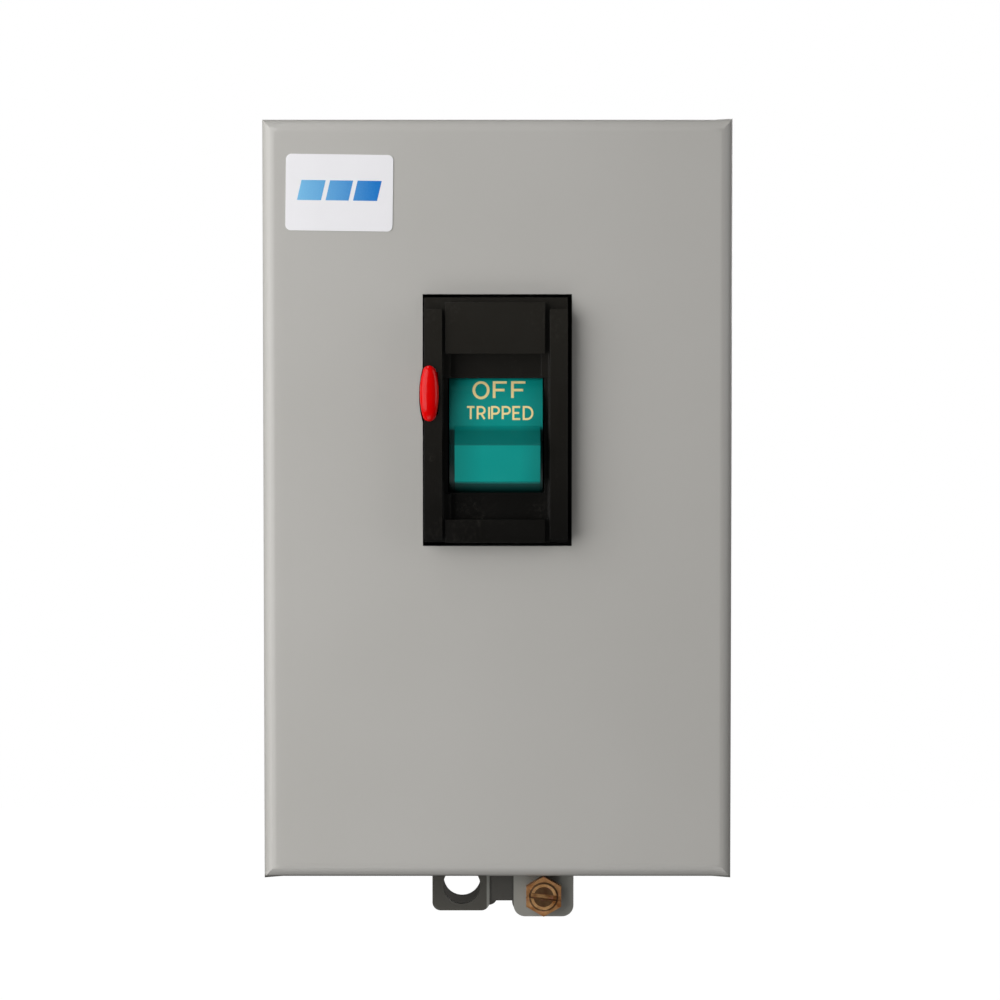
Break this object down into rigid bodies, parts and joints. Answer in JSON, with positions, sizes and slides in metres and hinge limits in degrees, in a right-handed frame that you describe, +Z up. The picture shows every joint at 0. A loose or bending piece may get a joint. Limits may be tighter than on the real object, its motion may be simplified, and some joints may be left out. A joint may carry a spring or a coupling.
{
  "type": "motor protection breaker",
  "caption": "Motor protection breaker in a grey sheet-metal wall enclosure, with a hinged cover, green rocker, red lock-off tab and padlock tabs.",
  "frame": {"origin": "centre of the base pan's back face, on the wall plane, at mid-height of the cover", "axes": "+Z up, +X to the right of someone facing the front, +Y into the wall; the front faces -Y"},
  "size_m": [0.127, 0.1098, 0.2174],
  "materials": {
    "grey_paint": "satin paint",
    "dark_zinc": "satin",
    "label_white": "smooth",
    "black_moulding": "satin gloss",
    "block_moulding": "matte",
    "teal_plastic": "satin gloss",
    "red_plastic": "gloss",
    "tan_plastic": "matte",
    "brown_moulding": "matte",
    "zinc_steel": "zinc plated",
    "gold_zinc": "yellow zinc dichromate",
    "green_steel": "green dyed",
    "copper_strip": "plain",
    "silver_tip": "plain",
    "heater_alloy": "oxidised",
    "nylon": "matte"
  },
  "bodies": {
    "enclosure": {"base_pan": "grey_paint", "knockout_slugs": "grey_paint", "lock_bracket": "dark_zinc", "bracket_rivets": "zinc_steel", "clinch_nut": "zinc_steel", "earth_screw": "green_steel", "earth_saddle": "copper_strip", "mounting_plate": "zinc_steel", "plate_screws": "zinc_steel", "contact_block": "block_moulding", "mechanism_case": "block_moulding", "case_screws": "zinc_steel", "nose": "black_moulding", "line_strips": "copper_strip", "middle_strips": "copper_strip", "load_strips": "copper_strip", "line_screws": "zinc_steel", "load_screws": "zinc_steel", "pressure_plates": "zinc_steel", "fixed_tips": "silver_tip", "heater_elements": "heater_alloy", "heater_screws": "zinc_steel", "bimetals": "heater_alloy", "rocker_pin": "zinc_steel", "trip_pin": "zinc_steel", "latch_pin": "zinc_steel", "latch_spring": "zinc_steel", "detent_leaf": "zinc_steel", "ratings_label": "label_white", "return_spring": "zinc_steel"},
    "cover": {"cover": "grey_paint", "nameplate_label": "label_white", "wiring_label": "label_white"},
    "cover_screw": {"cover_screw": "gold_zinc", "screw_retainer": "nylon"},
    "rocker": {"rocker": "teal_plastic", "drive_pin": "zinc_steel"},
    "crossbar": {"crossbar": "brown_moulding", "contact_bridges": "copper_strip", "moving_tips": "silver_tip", "contact_springs": "zinc_steel"},
    "trip_bar": {"trip_bar": "tan_plastic"},
    "latch": {"latch": "zinc_steel"},
    "lockout_tab": {"lockout_tab": "red_plastic"}
  },
  "joints": [
    {"name": "cover_swing", "type": "hinge", "parent": "enclosure", "child": "cover", "pos_m": [0, -0.095, 0.1006], "axis": [-1, 0, 0], "range_deg": [0, 40]},
    {"name": "cover_screw_turn", "type": "hinge", "parent": "cover", "child": "cover_screw", "pos_m": [0.0126, -0.095, -0.1086], "axis": [0, 1, 0], "continuous": true},
    {"name": "rocker_swing", "type": "hinge", "parent": "enclosure", "child": "rocker", "pos_m": [0, -0.0755, 0.0173], "axis": [-1, 0, 0], "range_deg": [0, 24.2]},
    {"name": "crossbar_slide", "type": "slide", "parent": "enclosure", "child": "crossbar", "axis": [0, 1, 0], "range_m": [0, 0.0047], "deforming": ["return_spring"]},
    {"name": "trip_bar_turn", "type": "hinge", "parent": "enclosure", "child": "trip_bar", "pos_m": [0, -0.052, 0.004], "axis": [-1, 0, 0], "range_deg": [0, 10], "stiffness_Nm_per_rad": 0.01},
    {"name": "latch_turn", "type": "hinge", "parent": "enclosure", "child": "latch", "pos_m": [0, -0.061, -0.003], "axis": [1, 0, 0], "range_deg": [0, 8], "stiffness_Nm_per_rad": 0.01},
    {"name": "lockout_pull", "type": "slide", "parent": "enclosure", "child": "lockout_tab", "axis": [0, -1, 0], "range_m": [0, 0.008]}
  ],
  "couplings": [
    {"joint": "crossbar_slide", "follows": "rocker_swing", "m_per_rad": 0.0109}
  ]
}
